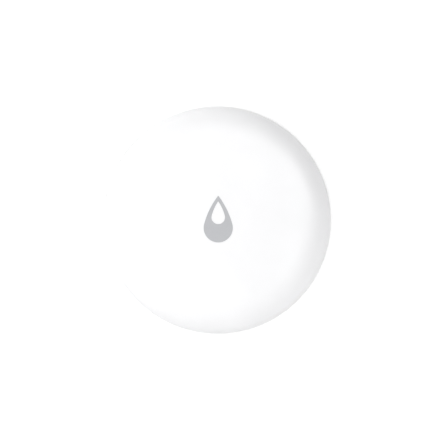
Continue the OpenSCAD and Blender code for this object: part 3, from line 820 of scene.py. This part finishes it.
def stitchEdge(look):
    antennaAngle = polarOf(antenna["middle"])[1]
    for degrees in range(0, 360, look["step"]):
        fromAntenna = abs(degrees - antennaAngle)
        fromProbe = min(degrees % 180, 180 - degrees % 180)  # the probes stand at 0 and 180 degrees
        if fromAntenna > look["antennaClear"] and fromProbe > look["probeClear"]:
            addVia(boardRadius - look["inset"], degrees)


def addTestPads(look):
    for i in range(look["count"]):
        place = polar(look["at"], look["from"] + i * look["step"])
        addDisc(pads, place, look["radius"], boardTop, padTop, look["steps"])


stitchEdge(edgeVias)
addTestPads(testPads)
makePiece("boardPads", pads, goldFinish)
makePiece("boardRuns", runs, runFinish)
makePiece("boardVias", vias, goldFinish)


# solder: metal caps on the ends of the small parts, and a fillet at each end and each switch terminal

solderLook = {
    # capShare is of a part's length, filletHigh of its height, and filletEdge of the solder's height
    "capShare": 0.24, "capOver": 0.000012,
    "filletLong": 0.0002, "filletHigh": 0.8, "filletSteps": 6, "filletEdge": 0.03,
}


def addFillet(shape, foot, ahead, halfWide, high, look):
    # solder that climbs an end in a hollow curve
    aside = Vector((-ahead.y, ahead.x)) * halfWide
    rows = []
    for step in range(look["filletSteps"] + 1):
        share = step / look["filletSteps"]
        place = foot + ahead * (look["filletLong"] * share)
        up = boardTop + high * max((1 - share) ** 2, look["filletEdge"])
        left, right = place - aside, place + aside
        rows.append([(left, boardTop), (right, boardTop), (right, up), (left, up)])
    skinRows(shape, rows)


def solderBoard(look):
    caps, solder = bmesh.new(), bmesh.new()
    for node in ("board_passives", "status_led", "chip_antenna"):
        for part in looseParts(node):
            capHalf = part["halfSide"] * look["capShare"]
            capWide, capTop = part["halfOut"] + look["capOver"], part["top"] + look["capOver"]
            high = (part["top"] - boardTop) * look["filletHigh"]
            for flank in ("left", "right"):
                foot, ahead = beside(part, flank, beyond=look["capOver"])
                addBlock(caps, foot - ahead * capHalf, ahead, capHalf, capWide, boardTop, capTop)
                addFillet(solder, foot, ahead, part["halfOut"], high, look)
    for terminal in looseParts("switch_terminals", radial=False):
        foot, ahead = beside(terminal, "out")
        high = (terminal["top"] - boardTop) * look["filletHigh"]
        addFillet(solder, foot, ahead, terminal["halfSide"], high, look)
    makePiece("partEndCaps", caps, solderFinish)
    makePiece("solderJoints", solder, solderFinish)


solderBoard(solderLook)
print("board dressed")


# the floor, the sky and the lamps

floorLook = {
    "reach": 3.0, "fadeFrom": 0.5, "sides": 96, "toneA": tone(227, 227, 227), "toneB": tone(229, 229, 229),
    "cloudSize": 0.3, "sheen": 0.16, "roughness": 0.45,
}


def makeFloor(look):
    mesh = bpy.data.meshes.new("studioFloor")
    shape = bmesh.new()
    bmesh.ops.create_circle(shape, cap_ends=True, segments=look["sides"], radius=look["reach"])
    shape.to_mesh(mesh)
    shape.free()
    floor = bpy.data.objects.new("studioFloor", mesh)
    bpy.context.scene.collection.objects.link(floor)
    finish, tree, shader = startFinish("paleFloor")
    place = objectPlace(tree)
    away = addNode(tree, "ShaderNodeVectorMath", {0: place}, operation="LENGTH").outputs["Value"]
    feedSockets(tree, shader, {
        "Base Color": twoTones(tree, look, speckle(tree, place, look["cloudSize"], detail=2)),
        "Metallic": look["sheen"],  # satin table top: some light bounces straight back
        "Roughness": look["roughness"],
        "Specular IOR Level": 0.0,
        "Alpha": spread(tree, away, 1, 0, look["fadeFrom"], look["reach"]),
    })
    mesh.materials.append(finish)
    return floor


studio = {
    "sky": tone(255, 255, 255), "skyPower": 0.27, "paper": tone(241, 241, 241),
    # compass angle from +X, height above the floor and width, in degrees, power, mirrored in gloss or not
    "lamps": {
        "leftHigh": (180, 50, 40, 0.99, True), "leftLow": (180, 22, 40, 0.78, False),
        "upperLeftLow": (135, 20, 40, 0.91, False), "upperRightFill": (45, 50, 40, 0.21, True),
        "rightGleam": (27, 51, 14, 0.62, True), "lowerRightFill": (315, 33, 40, 0.78, False),
        "lowerFill": (265, 35, 40, 0.62, False),
    },
    "floorLamp": (0, 90, 20, 2.2, True),
}


def hangLamp(name, compass, height, width, power, mirrored):
    lamp = bpy.data.lights.new(name, "SUN")
    lamp.energy, lamp.angle = power, math.radians(width)
    holder = bpy.data.objects.new(name, lamp)
    flat, up = math.radians(compass), math.radians(height)
    towards = Vector((math.cos(flat) * math.cos(up), math.sin(flat) * math.cos(up), math.sin(up)))
    holder.rotation_euler = towards.to_track_quat("Z", "Y").to_euler()
    holder.visible_glossy = mirrored
    bpy.context.scene.collection.objects.link(holder)
    return holder


def lightStudio(look, floor):
    world = bpy.data.worlds.new("studioSky")
    world.use_nodes = True
    tree = world.node_tree
    soft = tree.nodes["Background"]
    feedSockets(tree, soft, {"Color": look["sky"], "Strength": look["skyPower"]})
    # pale paper is what the camera sees past the floor, and the soft sky is what lights the object
    paper = addNode(tree, "ShaderNodeBackground", {"Color": look["paper"], "Strength": 1.0})
    seen = addNode(tree, "ShaderNodeLightPath").outputs["Is Camera Ray"]
    mix = addNode(tree, "ShaderNodeMixShader", {0: seen, 1: soft.outputs[0], 2: paper.outputs[0]})
    tree.links.new(mix.outputs[0], tree.nodes["World Output"].inputs["Surface"])
    bpy.context.scene.world = world
    for name, lamp in look["lamps"].items():
        hangLamp(name, *lamp)
    washed = bpy.data.collections.new("washedByFloorLamp")
    washed.objects.link(floor)
    floorLamp = hangLamp("floorLamp", *look["floorLamp"])
    floorLamp.light_linking.receiver_collection = washed
    floorLamp.visible_diffuse = False  # only the sheen of the table top
    bpy.context.scene.view_settings.view_transform = "Standard"


lightStudio(studio, makeFloor(floorLook))
print("studio done")


# the camera: straight down, a hair from the left, long lens

shot = {
    "imagePixels": 440, "pixelsPerMetre": 4540, "beltHeight": 0.007, "distance": 1.0, "clip": (0.05, 10),
    "leanLeft": 1.2, "bodyAt": (217.5, 220.0), "sensor": 36.0,
}


def placeCamera(look):
    half = look["imagePixels"] / 2
    camera = bpy.data.cameras.new("shotCamera")
    camera.sensor_width = look["sensor"]
    camera.lens = look["sensor"] * look["distance"] * look["pixelsPerMetre"] / look["imagePixels"]
    camera.clip_start, camera.clip_end = look["clip"]
    holder = bpy.data.objects.new("shotCamera", camera)
    lean = math.radians(look["leanLeft"])
    away = Vector((-math.sin(lean), 0, math.cos(lean)))
    right = Vector((math.cos(lean), 0, math.sin(lean)))
    aim = Vector((0, 0, look["beltHeight"]))
    aim += right * (half - look["bodyAt"][0]) / look["pixelsPerMetre"]
    aim += Vector((0, 1, 0)) * (look["bodyAt"][1] - half) / look["pixelsPerMetre"]
    holder.location = aim + away * look["distance"]
    holder.rotation_euler = (0, -lean, 0)
    bpy.context.scene.collection.objects.link(holder)
    bpy.context.scene.camera = holder


placeCamera(shot)
print("camera done")
